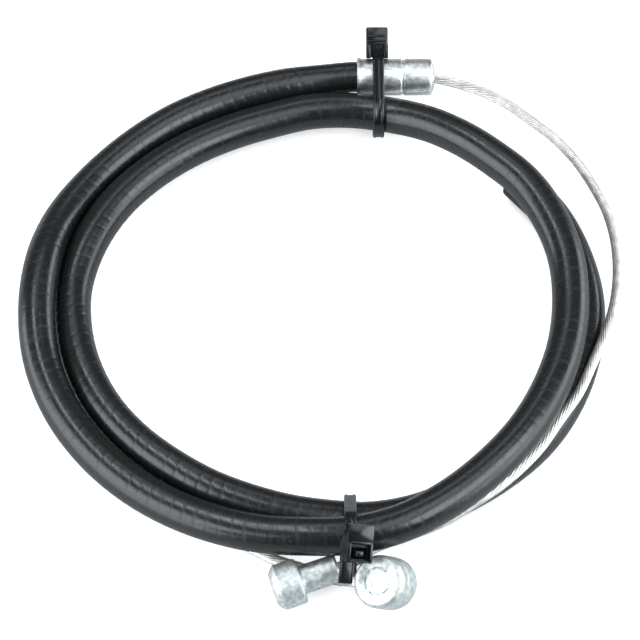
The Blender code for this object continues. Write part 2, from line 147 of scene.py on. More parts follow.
# Casing jacket: black plastic drawn tightly over a flat steel spiral, so that the spiral's seams
# show as shallow grooves running round it. It lies in a coil of one and three quarter turns and is
# nearly smooth at the upper right.
COIL_R = 38.0 * MM
PITCH = 5.65 * MM
CASING_R = 2.75 * MM
CASING_STEP = 0.19 * MM
CASING_SIDES = 32
RIB_PITCH = 1.85 * MM
MARKS_PER_TURN = 5
SEAM_DEPTH = 0.016 * MM
SEAM_WIDTH = 0.11
SMOOTH_AT = 405
SMOOTH_SPAN = 34
SMOOTH_SHARE = 0.85
FERRULE_COVER = 5.1 * MM
NECK = 0.86
NECK_END = 1.7 * FERRULE_COVER
NECK_BLEND = 1.6 * FERRULE_COVER
BORE = 0.83
MOUTH_RINGS = 10

# Points close to those that the solid follows: degrees round the coil, then distance out
# from its radius and height above the floor, both in strand pitches
CASING_ROWS = [
    (73.5, 0.87, 0.43), (81, 0.65, 0.43), (93, 0.35, 0.40), (103, 0.23, 0.38), (112, 0.19, 0.35),
    (122, 0.18, 0.33), (134, 0.20, 0.27), (147, 0.27, 0.26), (160, 0.36, 0.40), (174, 0.37, 0.73),
    (186, 0.44, 0.74), (197, 0.53, 0.59), (208, 0.57, 0.47), (220, 0.58, 0.40), (231, 0.58, 0.38),
    (242, 0.60, 0.43), (252, 0.66, 0.56), (261, 0.73, 0.70), (269, 0.79, 0.85), (277, 0.87, 0.93),
    (287, 0.84, 0.98), (297, 0.67, 1.0), (309, 0.46, 1.0), (321, 0.31, 0.99), (333, 0.18, 0.96),
    (345, 0.10, 0.94), (357, 0.04, 0.93), (368, 0.01, 0.96), (379, -0.08, 1.0), (390, -0.19, 1.02),
    (400, -0.34, 0.96), (410, -0.39, 0.84), (420, -0.38, 0.65), (430, -0.40, 0.45), (440, -0.45, 0.36),
    (450, -0.58, 0.35), (461, -0.77, 0.33), (473, -0.85, 0.32), (485, -0.85, 0.32), (497, -0.80, 0.33),
    (510, -0.70, 0.35), (523, -0.595, 0.33), (536, -0.485, 0.24), (549, -0.47, 0.27), (561, -0.45, 0.32),
    (573, -0.44, 0.32), (584, -0.45, 0.32), (596, -0.45, 0.32), (606, -0.39, 0.32), (616, -0.30, 0.32),
    (625, -0.17, 0.31), (634, -0.02, 0.29), (642, 0.14, 0.24), (651, 0.22, 0.15), (661, 0.24, 0.05),
    (672, 0.32, 0.01), (684, 0.45, 0.0), (696, 0.50, 0.0), (708, 0.52, 0.0), (720, 0.52, 0.0),
    (732, 0.44, 0.0), (744, 0.34, 0.0), (756, 0.14, 0.0)]


def place(rows, rest_r):
    """Points of a route from its rows; a strand of radius rest_r rests on the floor at height 0."""
    points = []
    for angle, out, lift in rows:
        a = math.radians(angle)
        r = COIL_R + out * PITCH
        points.append(COIL_CENTRE + Vector((r * math.cos(a), r * math.sin(a), rest_r + lift * PITCH)))
    return points


def smooth(points, step, after=None):
    """Even points about a step apart on a smooth curve; after is the point that would follow."""
    ends = [points[0] * 2 - points[1]] + points + [after or points[-1] * 2 - points[-2]]
    dense = []
    for i in range(1, len(ends) - 2):
        p0, p1, p2, p3 = ends[i - 1:i + 3]
        d0, d1, d2 = (p1 - p0).length, (p2 - p1).length, (p3 - p2).length
        m1 = ((p2 - p1) / d1 * d0 + (p1 - p0) / d0 * d1) / (d0 + d1) * d1
        m2 = ((p3 - p2) / d2 * d1 + (p2 - p1) / d1 * d2) / (d1 + d2) * d1
        for k in range(24):
            t = k / 24
            dense.append((2 * t**3 - 3 * t**2 + 1) * p1 + (t**3 - 2 * t**2 + t) * m1
                         + (3 * t**2 - 2 * t**3) * p2 + (t**3 - t**2) * m2)
    dense.append(points[-1])
    run = [0.0]
    for a, b in zip(dense, dense[1:]):
        run.append(run[-1] + (b - a).length)
    count = max(2, round(run[-1] / step))
    even = []
    j = 0
    for i in range(count + 1):
        s = run[-1] * i / count
        while j < len(run) - 2 and run[j + 1] < s:
            j += 1
        even.append(dense[j].lerp(dense[j + 1], min(1.0, (s - run[j]) / (run[j + 1] - run[j]))))
    return even


def length_of(points):
    return sum((b - a).length for a, b in zip(points, points[1:]))


def cross_frames(points):
    """Position, across and up at each point of a route that never stands upright."""
    frames = []
    for i, p in enumerate(points):
        along = (points[min(i + 1, len(points) - 1)] - points[max(i - 1, 0)]).normalized()
        across = along.cross(Vector((0, 0, 1))).normalized()
        frames.append((p, across, across.cross(along)))
    return frames


def loft(mesh, rings, cyclic=False, caps=True):
    """Skin over closed rings of equally many points."""
    rows = [[mesh.verts.new(p) for p in ring] for ring in rings]
    for a, b in zip(rows, rows[1:] + (rows[:1] if cyclic else [])):
        n = len(a)
        for i in range(n):
            mesh.faces.new((a[i], a[(i + 1) % n], b[(i + 1) % n], b[i]))
    if caps and not cyclic:
        mesh.faces.new(rows[0][::-1])
        mesh.faces.new(rows[-1])


def piece(mesh, name, material, slot, sharp):
    """Object that rides with the part and replaces the solid whose slot it takes."""
    bmesh.ops.recalc_face_normals(mesh, faces=mesh.faces)
    data = bpy.data.meshes.new(name)
    mesh.to_mesh(data)
    mesh.free()
    data.materials.append(material)
    data.shade_smooth()
    data.set_sharp_from_angle(angle=math.radians(sharp))
    ob = bpy.data.objects.new(name, data)
    bpy.context.scene.collection.objects.link(ob)
    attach(ob, "root")
    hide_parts(slot)
    return ob


def surface(name, colour, metallic, roughness):
    """Material with its plain values, its shader and the object's coordinates."""
    mat = bpy.data.materials.new(name)
    mat.use_nodes = True
    shader = mat.node_tree.nodes["Principled BSDF"]
    shader.inputs["Base Color"].default_value = (*colour, 1)
    shader.inputs["Metallic"].default_value = metallic
    shader.inputs["Roughness"].default_value = roughness
    coords = mat.node_tree.nodes.new("ShaderNodeTexCoord").outputs["Object"]
    return mat, shader, coords


# The mottle group: noise read between two of its levels and mapped to a range
MOTTLE_SOCKETS = ("Scale", "Detail", "Low level", "High level", "At low", "At high")
mottle = bpy.data.node_groups.new("mottle", "ShaderNodeTree")
mottle.interface.new_socket(name="Coordinates", in_out="INPUT", socket_type="NodeSocketVector")
for name in MOTTLE_SOCKETS:
    mottle.interface.new_socket(name=name, in_out="INPUT", socket_type="NodeSocketFloat")
mottle.interface.new_socket(name="Value", in_out="OUTPUT", socket_type="NodeSocketFloat")
mottle_in = mottle.nodes.new("NodeGroupInput")
mottle_out = mottle.nodes.new("NodeGroupOutput")
grain = mottle.nodes.new("ShaderNodeTexNoise")
span = mottle.nodes.new("ShaderNodeMapRange")
for source, target in (
        (mottle_in.outputs["Coordinates"], grain.inputs["Vector"]),
        (mottle_in.outputs["Scale"], grain.inputs["Scale"]),
        (mottle_in.outputs["Detail"], grain.inputs["Detail"]),
        (grain.outputs["Fac"], span.inputs["Value"]),
        (mottle_in.outputs["Low level"], span.inputs["From Min"]),
        (mottle_in.outputs["High level"], span.inputs["From Max"]),
        (mottle_in.outputs["At low"], span.inputs["To Min"]),
        (mottle_in.outputs["At high"], span.inputs["To Max"]),
        (span.outputs["Result"], mottle_out.inputs["Value"])):
    mottle.links.new(source, target)


def clouds(mat, coords, *values):
    """The mottle group placed in a material, with its values in the order of its sockets."""
    node = mat.node_tree.nodes.new("ShaderNodeGroup")
    node.node_tree = mottle
    for name, value in zip(MOTTLE_SOCKETS, values):
        node.inputs[name].default_value = value
    mat.node_tree.links.new(coords, node.inputs["Coordinates"])
    return node.outputs["Value"]


def tinted(mat, shader, factor, first, second):
    """Base colour that runs from the first colour to the second."""
    mix = mat.node_tree.nodes.new("ShaderNodeMix")
    mix.data_type = "RGBA"
    mix.inputs["A"].default_value = (*first, 1)
    mix.inputs["B"].default_value = (*second, 1)
    mat.node_tree.links.new(factor, mix.inputs["Factor"])
    mat.node_tree.links.new(mix.outputs["Result"], shader.inputs["Base Color"])


def relief(mat, shader, height, distance, strength):
    """Fine unevenness that only the light shows."""
    bump = mat.node_tree.nodes.new("ShaderNodeBump")
    bump.inputs["Distance"].default_value = distance
    bump.inputs["Strength"].default_value = strength
    mat.node_tree.links.new(height, bump.inputs["Height"])
    mat.node_tree.links.new(bump.outputs["Normal"], shader.inputs["Normal"])


jacket_material, shader, coords = surface("casing_jacket", (0.012, 0.013, 0.015), 0.0, 0.3)
jacket_tree = jacket_material.node_tree
dust = clouds(jacket_material, coords, 1900, 3, 0.60, 0.74, 0.0, 1.0)
tinted(jacket_material, shader, dust, (0.0065, 0.007, 0.0075), (0.024, 0.024, 0.023))
turns_map = jacket_tree.nodes.new("ShaderNodeUVMap")
turns_map.uv_map = "turns"
split = jacket_tree.nodes.new("ShaderNodeSeparateXYZ")
jacket_tree.links.new(turns_map.outputs["UV"], split.inputs["Vector"])
turns_at = split.outputs["X"]

# Five fine marks to a turn, and duller seams
wave = maths(jacket_tree, "SINE", maths(jacket_tree, "MULTIPLY", turns_at, MARKS_PER_TURN * 2 * math.pi))
patches = clouds(jacket_material, coords, 260, 3, 0.35, 0.7, 0.0, 0.55)
grains = clouds(jacket_material, coords, 1500, 3, 0.2, 0.8, 0.0, 1.0)
marks = maths(jacket_tree, "MULTIPLY_ADD", wave, patches, grains)
relief(jacket_material, shader, marks, 0.012 * MM, 0.5)
dull = jacket_tree.nodes.new("ShaderNodeMapRange")
dull.inputs["From Min"].default_value = 0.05
dull.inputs["From Max"].default_value = 0.20
jacket_tree.links.new(maths(jacket_tree, "PINGPONG", turns_at, 0.5), dull.inputs["Value"])
jacket_tree.links.new(clouds(jacket_material, coords, 330, 2, 0.36, 0.60, 0.37, 0.25), dull.inputs["To Min"])
jacket_tree.links.new(clouds(jacket_material, coords, 420, 4, 0.3, 0.7, 0.19, 0.30), dull.inputs["To Max"])
jacket_tree.links.new(dull.outputs["Result"], shader.inputs["Roughness"])

casing_points = place(CASING_ROWS, CASING_R)
casing_fine = smooth(casing_points, CASING_STEP)
casing_length = length_of(casing_fine)
casing_frames = cross_frames(casing_fine)
casing_steps = len(casing_fine) - 1
first_angle = CASING_ROWS[0][0]
last_angle = CASING_ROWS[-1][0]
casing_rings = []
for i, (p, across, up) in enumerate(casing_frames):
    s = casing_length * i / casing_steps
    t = min(1.0, max(0.0, (s - NECK_END) / NECK_BLEND))
    squeeze = NECK + (1 - NECK) * t * t * (3 - 2 * t)
    angle = s / casing_length * (last_angle - first_angle) + first_angle
    quiet = SMOOTH_SHARE * math.exp(-((angle - SMOOTH_AT) / SMOOTH_SPAN) ** 2)
    depth = SEAM_DEPTH * (1 - quiet) * max(0.1, 1 + 1.3 * noise.noise(Vector((s * 70, 3.1, 0.4))))
    ring = []
    for k in range(CASING_SIDES):
        a = 2 * math.pi * k / CASING_SIDES
        turns = s / RIB_PITCH + a / (2 * math.pi)
        nearest = math.floor(turns + 0.5)
        uneven = max(0.15, 1 + 1.6 * noise.noise(Vector((nearest * 0.73, 8.3 + 0.6 * a, 1.7))))
        seam = math.exp(-((turns - nearest) / SEAM_WIDTH) ** 2)
        r = CASING_R * squeeze - depth * uneven * seam
        ring.append(p + across * (r * math.cos(a)) + up * (r * math.sin(a)))
    casing_rings.append(ring)


def mouth(end, inner):
    """Lip at an end of the casing, and the same ring further in."""
    centre = casing_fine[end]
    lip = [centre + (v - centre) * BORE for v in casing_rings[end]]
    return lip, [v + casing_fine[inner] - centre for v in lip]


near_lip, near_deep = mouth(0, MOUTH_RINGS)
far_lip, far_deep = mouth(-1, -1 - MOUTH_RINGS)
jacket_mesh = bmesh.new()
loft(jacket_mesh, [near_deep, near_lip] + casing_rings + [far_lip, far_deep], caps=False)
jacket = piece(jacket_mesh, "jacket_ribbed", jacket_material, "casing_jacket", 40)
turns_layer = jacket.data.uv_layers.new(name="turns")
corners = jacket.data.loops
for face in jacket.data.polygons:
    spots = [divmod(corners[c].vertex_index, CASING_SIDES) for c in face.loop_indices]
    sides = [k for ring, k in spots]
    closing = max(sides) == CASING_SIDES - 1 and min(sides) == 0
    for c, (ring, k) in zip(face.loop_indices, spots):
        share = 1.0 if closing and k == 0 else k / CASING_SIDES
        run = casing_length * (ring - 2) / casing_steps
        turns_layer.data[c].uv = (run / RIB_PITCH + share, share)

# Ferrule: a plated steel cap turned from rod. Flared rim over the casing, a rolled groove, a
# chamfered nose with the wire's hole. Its plating is mottled and slightly dented.
FERRULE_LENGTH = 12.0 * MM
FERRULE_WALL = 0.3 * MM
RIM = 0.12 * MM
LAYER_GAP = 0.2 * MM
TURNED_SIDES = 64
WIRE_R = 0.75 * MM
cup_r = CASING_R * NECK + LAYER_GAP
skin_r = cup_r + FERRULE_WALL
casing_coarse = smooth(casing_points, 6.0 * MM)
ferrule_axis = (casing_coarse[0] - casing_coarse[1]).normalized()
ferrule_back = casing_points[0] - ferrule_axis * FERRULE_COVER
ferrule_material, shader, coords = surface("ferrule", (0.72, 0.73, 0.76), 1.0, 0.3)
plating = clouds(ferrule_material, coords, 2000, 5, 0.38, 0.62, 0.0, 1.0)
tinted(ferrule_material, shader, plating, (0.60, 0.62, 0.635), (0.88, 0.90, 0.90))
ferrule_material.node_tree.links.new(
    clouds(ferrule_material, coords, 1500, 4, 0.3, 0.7, 0.3, 0.46), shader.inputs["Roughness"])
dents = clouds(ferrule_material, coords, 2200, 4, 0.2, 0.8, 0.0, 1.0)
relief(ferrule_material, shader, dents, 0.03 * MM, 0.4)


def pose_along(origin, axis):
    return Matrix.Translation(origin) @ Vector((0, 0, 1)).rotation_difference(axis).to_matrix().to_4x4()


def turned(profile, pose, dent, grain_scale):
    """Mesh turned from a profile of radius and height; dent makes the radius uneven."""
    rings = []
    for r, z in profile:
        ring = []
        for k in range(TURNED_SIDES):
            a = 2 * math.pi * k / TURNED_SIDES
            local = Vector((r * math.cos(a), r * math.sin(a), z))
            local.xy *= 1 + dent * noise.noise(local * grain_scale)
            ring.append(pose @ local)
        rings.append(ring)
    mesh = bmesh.new()
    loft(mesh, rings)
    return mesh


# Radius and share of the length, from the wire's hole over the nose and the groove to the cup
ferrule_profile = [
    (0.4 * WIRE_R, 0.45), (1.12 * WIRE_R, 0.46), (1.2 * WIRE_R, 0.965), (1.35 * WIRE_R, 1.0),
    (0.50 * skin_r, 1.0), (0.60 * skin_r, 0.994), (0.93 * skin_r, 0.962), (0.975 * skin_r, 0.948),
    (0.995 * skin_r, 0.93), (skin_r, 0.90), (skin_r, 0.75), (skin_r, 0.63), (0.99 * skin_r, 0.617),
    (0.945 * skin_r, 0.607), (0.93 * skin_r, 0.592), (0.935 * skin_r, 0.580), (0.98 * skin_r, 0.568),
    (0.995 * skin_r, 0.555), (0.99 * skin_r, 0.40), (0.985 * skin_r, 0.20), (0.985 * skin_r, 0.075),
    (0.995 * skin_r, 0.055), (skin_r + 0.10 * MM, 0.035), (skin_r + RIM, 0.02), (skin_r + RIM, 0.004),
    (skin_r + 0.05 * MM, 0.0), (cup_r + 0.06 * MM, 0.0), (cup_r, 0.004), (cup_r, 0.43), (0.4 * WIRE_R, 0.44)]
ferrule_mesh = turned([(r, share * FERRULE_LENGTH) for r, share in ferrule_profile],
                      pose_along(ferrule_back, ferrule_axis), dent=0.003, grain_scale=600)
ferrule = piece(ferrule_mesh, "ferrule_cap", ferrule_material, "ferrule", 32)

# Pear nipple: zinc cast onto the wire's end, bright and mottled from the mould. A chamfered head
# sits on a slightly rough neck that lies against the coil.
PEAR_MOUTH = COIL_CENTRE + Vector((3.9 * MM, -45.8 * MM, 4.6 * MM))
PEAR_TURN = math.radians(197.5)
PEAR_LENGTH = 9.7 * MM
HEAD_LENGTH = 4.2 * MM
head_r = 3.3 * MM
neck_r = 2.05 * MM
NECK_RINGS = 18
nipple_material, shader, coords = surface("nipples", (0.80, 0.80, 0.80), 1.0, 0.34)
zinc = clouds(nipple_material, coords, 1500, 6, 0.36, 0.64, 0.0, 1.0)
tinted(nipple_material, shader, zinc, (0.44, 0.465, 0.47), (0.70, 0.725, 0.715))
nipple_material.node_tree.links.new(
    clouds(nipple_material, coords, 1100, 5, 0.3, 0.7, 0.44, 0.60), shader.inputs["Roughness"])
mould = clouds(nipple_material, coords, 2600, 4, 0.2, 0.8, 0.0, 1.0)
relief(nipple_material, shader, mould, 0.03 * MM, 0.32)

pear_tilt = math.asin((PEAR_MOUTH.z - COIL_CENTRE.z - head_r) / PEAR_LENGTH)
pear_axis = (Vector((math.cos(PEAR_TURN), math.sin(PEAR_TURN), 0)) * math.cos(pear_tilt)
             - Vector((0, 0, math.sin(pear_tilt))))
shoulder = PEAR_LENGTH - HEAD_LENGTH
neck_top = shoulder - 0.09 * head_r
pear_profile = [
    (0.02 * MM, PEAR_LENGTH), (0.50 * head_r, PEAR_LENGTH), (0.68 * head_r, PEAR_LENGTH - 0.01 * head_r),
    (0.72 * head_r, PEAR_LENGTH - 0.03 * head_r), (0.965 * head_r, PEAR_LENGTH - 0.25 * head_r),
    (head_r, PEAR_LENGTH - 0.31 * head_r), (head_r, PEAR_LENGTH - 0.6 * head_r),
    (head_r, shoulder + 0.35 * head_r), (0.99 * head_r, shoulder + 0.10 * head_r),
    (0.95 * head_r, shoulder + 0.02 * head_r), (0.86 * head_r, shoulder),
    (1.06 * neck_r, shoulder - 0.02 * head_r), (neck_r, neck_top)]
for k in range(1, NECK_RINGS):
    rough = 0.99 + 0.03 * noise.noise(Vector((k * 1.7, 0.3, 0)))
    pear_profile.append((neck_r * rough, neck_top * (1 - k / (NECK_RINGS + 1))))
pear_profile += [
    (neck_r, 0.16 * neck_r), (0.95 * neck_r, 0.05 * neck_r), (0.85 * neck_r, 0.0), (1.1 * WIRE_R, 0.0),
    (WIRE_R, 0.12 * neck_r), (0.02 * MM, 0.14 * neck_r)]
pear_mesh = turned(pear_profile, pose_along(PEAR_MOUTH, pear_axis), dent=0.022, grain_scale=700)
pear = piece(pear_mesh, "pear_cast", nipple_material, "pear_nipple", 18)

# Barrel nipple: a short zinc cylinder cast across the wire's other end, standing askew beside the
# coil. Its face has a shallow broken ring, and a parting groove runs round its side.
BARREL_BASE = COIL_CENTRE + Vector((11.8 * MM, -47.05 * MM, 0))
BARREL_LEAN = math.radians(34)
BARREL_TURN = math.radians(226.4)
BARREL_WIRE_TURN = math.radians(35)
BARREL_R = 3.75 * MM
BARREL_LENGTH = 6.4 * MM
BARREL_SIDES = 96
RING_DEPTH = 0.055 * BARREL_R
barrel_axis = (Vector((math.cos(BARREL_TURN), math.sin(BARREL_TURN), 0)) * math.sin(BARREL_LEAN)
               + Vector((0, 0, math.cos(BARREL_LEAN))))
barrel_rear = BARREL_BASE + Vector((0, 0, BARREL_R * math.sin(BARREL_LEAN)))
barrel_mid = barrel_rear + barrel_axis * BARREL_LENGTH / 2
barrel_side = (Matrix.Rotation(BARREL_WIRE_TURN, 3, barrel_axis)
               @ barrel_axis.cross(Vector((0, 0, 1))).normalized())
barrel_pose = pose_along(barrel_rear, barrel_axis)

# Share of the radius, depth below the face in radii, and 1 where the broken ring sinks
barrel_rows = [
    (0.005, 0, 0), (0.30, 0, 0), (0.42, 0, 0), (0.455, 0, 0), (0.475, 0, 1), (0.50, 0, 1), (0.525, 0, 1),
    (0.545, 0, 0), (0.60, 0, 0), (0.80, 0, 0), (0.86, 0.01, 0), (0.90, 0.03, 0), (0.97, 0.11, 0),
    (0.995, 0.17, 0), (1.0, 0.25, 0), (1.0, 0.50, 0), (0.995, 0.53, 0), (0.975, 0.56, 0), (0.975, 0.60, 0),
    (0.99, 0.64, 0), (1.0, 0.70, 0), (1.0, 0.95, 0), (1.0, 1.2, 0)]
profile = [(share, BARREL_LENGTH - below * BARREL_R, broken) for share, below, broken in barrel_rows]
profile += [(share, above * BARREL_R, 0) for share, above in (
    (0.995, 0.30), (0.98, 0.19), (0.93, 0.10), (0.84, 0.0), (0.5, 0.0), (0.005, 0.0))]
barrel_rings = []
for share, z, broken in profile:
    ring = []
    for k in range(BARREL_SIDES):
        a = 2 * math.pi * k / BARREL_SIDES
        spot = Vector((share * math.cos(a), share * math.sin(a), z / BARREL_R))
        kept = noise.noise(Vector((2.1 * math.cos(a), 2.1 * math.sin(a), 4.2)))
        sink = RING_DEPTH * broken * max(0.0, min(1.0, 0.6 + 2.4 * kept))
        sink += 0.004 * BARREL_R * noise.noise(spot * 4.0)
        r = BARREL_R * share * (1 + 0.008 * noise.noise(spot * 2.6))
        ring.append(barrel_pose @ Vector((r * math.cos(a), r * math.sin(a), z - sink)))
    barrel_rings.append(ring)
barrel_mesh = bmesh.new()
loft(barrel_mesh, barrel_rings)
barrel = piece(barrel_mesh, "barrel_cast", nipple_material, "barrel_nipple", 32)

# Inner wire: twelve bright steel strands laid round a core, turning left-handed. Two stretches
# lie bare, from the pear to the ferrule and from the casing's plain end to the barrel. Inside the
# casing it is a plain rod.
LAY = 14.0 * MM
STRANDS = 12
WIRE_STEP = 0.45 * MM
FIRST_ROWS = [
    (-81.0, 1.22, 0.68), (-78.7, 1.02, 0.67), (-75.8, 0.92, 0.66), (-73, 0.89, 0.66), (-70.1, 0.86, 0.67),
    (-66.6, 0.85, 0.68), (-62.8, 0.84, 0.70), (-59.1, 0.79, 0.73), (-55.2, 0.79, 0.76), (-50.9, 0.80, 0.80),
    (-46.1, 0.80, 0.84), (-39.8, 0.79, 0.90), (-31.9, 0.75, 0.96), (-24.3, 0.82, 0.94), (-17.6, 0.86, 0.92),
    (-11.2, 0.97, 0.85), (-5.2, 1.12, 0.73), (0.9, 1.28, 0.68), (7.1, 1.43, 0.67), (13.5, 1.56, 0.68),
    (19.8, 1.65, 0.68), (26.1, 1.68, 0.68), (32.3, 1.71, 0.68), (38.3, 1.70, 0.68), (44.2, 1.65, 0.67),
    (49.7, 1.63, 0.68), (54.6, 1.58, 0.69), (58.9, 1.48, 0.70), (62.3, 1.36, 0.74)]
SECOND_ROWS = [
    (41, 0.14, 0.33), (48, 0.16, 0.26), (56, 0.20, 0.22), (65, 0.23, 0.29), (74.5, 0.19, 0.38),
    (82, 0.04, 0.30), (90, -0.12, 0.22), (100, -0.27, 0.17), (112, -0.34, 0.15), (125, -0.34, 0.13),
    (138, -0.28, 0.12), (150, -0.21, 0.12), (162, -0.14, 0.12), (174, -0.09, 0.12), (186, -0.02, 0.12),
    (198, 0.04, 0.12), (210, 0.05, 0.12), (222, 0.05, 0.12), (232, 0.07, 0.10), (240, 0.08, 0.06),
    (247, 0.15, 0.02), (253, 0.35, 0.0), (258.9, 0.61, 0.0), (263.3, 0.82, 0.0), (268, 1.0, 0.0),
    (271.9, 1.22, 0.02), (273.6, 1.36, 0.07), (275.0, 1.50, 0.17), (276.2, 1.60, 0.30)]
wire_material, shader, coords = surface("inner_wire", (0.80, 0.79, 0.77), 1.0, 0.26)
drawn = clouds(wire_material, coords, 800, 3, 0.35, 0.65, 0.0, 1.0)
tinted(wire_material, shader, drawn, (0.63, 0.615, 0.58), (0.86, 0.84, 0.79))
wire_material.node_tree.links.new(
    clouds(wire_material, coords, 1500, 2, 0.3, 0.7, 0.34, 0.48), shader.inputs["Roughness"])

# Outline of the strands side by side, as angle and reach from the wire's middle
half = math.pi / STRANDS
strand_r = WIRE_R * math.sin(half) / (1 + math.sin(half))
strand_ring = WIRE_R - strand_r
lobes = []
for k in range(STRANDS):
    for d in (-0.97, -0.7, -0.3, 0.1, 0.5, 0.85):
        a = d * half
        bulge = math.sqrt(max(0.0, strand_r ** 2 - (strand_ring * math.sin(a)) ** 2))
        lobes.append((2 * half * k + a, strand_ring * math.cos(a) + bulge))


def rope(name, points):
    """Bare stretch of the wire along even points."""
    total = length_of(points)
    rings = []
    for i, (p, across, up) in enumerate(cross_frames(points)):
        turn = 2 * math.pi * total * i / (len(points) - 1) / LAY
        rings.append([p + across * (reach * math.cos(a + turn)) + up * (reach * math.sin(a + turn))
                      for a, reach in lobes])
    mesh = bmesh.new()
    loft(mesh, rings)
    return piece(mesh, name, wire_material, "inner_wire", 50)


pear_start = [PEAR_MOUTH + pear_axis * 0.2 * MM, PEAR_MOUTH, PEAR_MOUTH - pear_axis * 1.6 * WIRE_R]
nose = casing_points[0] + Vector((FERRULE_LENGTH - FERRULE_COVER, -0.18 * MM, -0.15 * MM))
first_path = smooth(pear_start + place(FIRST_ROWS, WIRE_R) + [nose, casing_points[0]], WIRE_STEP,
                    after=casing_points[1])
wire_first = rope("wire_to_pear", first_path)

barrel_end = [barrel_mid + barrel_side * (BARREL_R + 1.6 * WIRE_R), barrel_mid + barrel_side * BARREL_R,
              barrel_mid + barrel_side * (BARREL_R - 0.5 * MM)]
second_path = smooth([casing_points[-2], casing_points[-1]] + place(SECOND_ROWS, WIRE_R) + barrel_end,
                     WIRE_STEP)
wire_second = rope("wire_to_barrel", second_path)

ROD_SIDES = 12
rod_rings = []
for p, across, up in cross_frames(smooth(casing_points[:-1], 3.0 * MM)):
    angles = [2 * math.pi * k / ROD_SIDES for k in range(ROD_SIDES)]
    rod_rings.append([p + across * (WIRE_R * math.cos(a)) + up * (WIRE_R * math.sin(a)) for a in angles])
rod_mesh = bmesh.new()
loft(rod_mesh, rod_rings)
piece(rod_mesh, "wire_in_casing", wire_material, "inner_wire", 40)

# Winding and liner: the flat steel spiral and the pale plastic tube that the wire slides in. They
# keep their solids and show only where the casing's plain end is cut.
for name, colour, metallic, plain, scale, detail, least, most in (
        ("casing_winding", (0.42, 0.43, 0.44), 1.0, 0.4, 1200, 4, 0.28, 0.5),
        ("casing_liner", (0.75, 0.75, 0.72), 0.0, 0.45, 900, 3, 0.35, 0.55)):
    material, shader, coords = surface(name, colour, metallic, plain)
    material.node_tree.links.new(
        clouds(material, coords, scale, detail, 0.3, 0.7, least, most), shader.inputs["Roughness"])
    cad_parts[name].material_slots[0].material = material

# Top cable tie: black moulded nylon round the ferrule and the strand below it. The strap has raised
# rails along both edges and fine teeth inside; the head stands above the ferrule, seen from behind.
FIT_GAP = 0.3 * MM
STRAP_WIDTH = 1.75 * MM
STRAP_THICK = 0.7 * MM
STRAP_RINGS = 180
HEAD_THICK = 2.9 * MM
TOP_HALF = 3.45 * MM / 2
TOP_LONG = 4.6 * MM
view_rise = math.radians(90 - CAMERA_TILT)
VIEW_UP = Vector((0, math.sin(view_rise), math.cos(view_rise)))
VIEW_OUT = Vector((0, -math.cos(view_rise), math.sin(view_rise)))
tie_material, shader, coords = surface("ties", (0.0035, 0.004, 0.0045), 0.0, 0.25)
tie_material.node_tree.links.new(
    clouds(tie_material, coords, 900, 4, 0.3, 0.7, 0.15, 0.30), shader.inputs["Roughness"])
moulding = clouds(tie_material, coords, 1400, 3, 0.2, 0.8, 0.0, 1.0)
relief(tie_material, shader, moulding, 0.02 * MM, 0.3)


def section(points, x, near):
    """Where a route crosses the plane at x, nearest to a point given as y and z."""
    hits = [a.lerp(b, (x - a.x) / (b.x - a.x)) for a, b in zip(points, points[1:])
            if (a.x - x) * (b.x - x) <= 0 and a.x != b.x]
    return min(hits, key=lambda h: (h.y - near[0]) ** 2 + (h.z - near[1]) ** 2)


def strap(mesh, x, circles):
    """Toothed band round circles of centre and radius that lie in the plane at x."""
    w = STRAP_WIDTH / 2
    t = STRAP_THICK
    rings = []
    for i in range(STRAP_RINGS):
        a = 2 * math.pi * i / STRAP_RINGS
        n = Vector((0, math.cos(a), math.sin(a)))
        c, r = max(circles, key=lambda k: Vector((0, k[0].y, k[0].z)).dot(n) + k[1])
        base = Vector((x, c.y, c.z)) + n * (r + FIT_GAP)
        tooth = 0.13 * (i % 2)
        rings.append([base + Vector((u * w, 0, 0)) + n * (h * t) for u, h in (
            (-0.94, 0.03), (-1, 0.14), (-1, 0.60), (-0.94, 0.80), (-0.82, 0.95), (-0.68, 1), (-0.54, 0.97),
            (-0.42, 0.87), (0.42, 0.87), (0.54, 0.97), (0.68, 1), (0.82, 0.95), (0.94, 0.80), (1, 0.60),
            (1, 0.14), (0.94, 0.03), (0.6, tooth), (-0.6, tooth))])
    loft(mesh, rings, cyclic=True)


def facing(at, turn):
    """Frame with X across, Y up the picture and Z out of it, turned about its Y."""
    axes = Matrix((VIEW_UP.cross(VIEW_OUT), VIEW_UP, VIEW_OUT)).transposed().to_4x4()
    return Matrix.Translation(at) @ axes @ Matrix.Rotation(math.radians(turn), 4, "Y")


def slab(mesh, pose, front, back, z_front, z_back, edge, segments=2):
    """Softened block between a front and a back outline, each left, bottom, right and top."""
    block = bmesh.new()
    rings = []
    for (x0, y0, x1, y1), z in ((back, z_back), (front, z_front)):
        rings.append([Vector(c) for c in ((x0, y0, z), (x1, y0, z), (x1, y1, z), (x0, y1, z))])
    loft(block, rings)
    if edge:
        bmesh.ops.bevel(block, geom=block.edges[:], offset=edge, segments=segments, profile=0.5,
                        affect="EDGES")
    block.transform(pose)
    data = bpy.data.meshes.new("slab")
    block.to_mesh(data)
    block.free()
    mesh.from_mesh(data)
    bpy.data.meshes.remove(data)


def head(mesh, pose, wide, long, blocks):
    """Slabs with outlines in half widths and lengths of the head, and edges in half widths."""
    for front, back, z_front, z_back, edge, segments in blocks:
        outlines = [(x0 * wide, y0 * long, x1 * wide, y1 * long) for x0, y0, x1, y1 in (front, back)]
        slab(mesh, pose, *outlines, z_front, z_back, edge * wide, segments)


def widened(box, by_x, by_y):
    return (box[0] - by_x, box[1] - by_y, box[2] + by_x, box[3] + by_y)


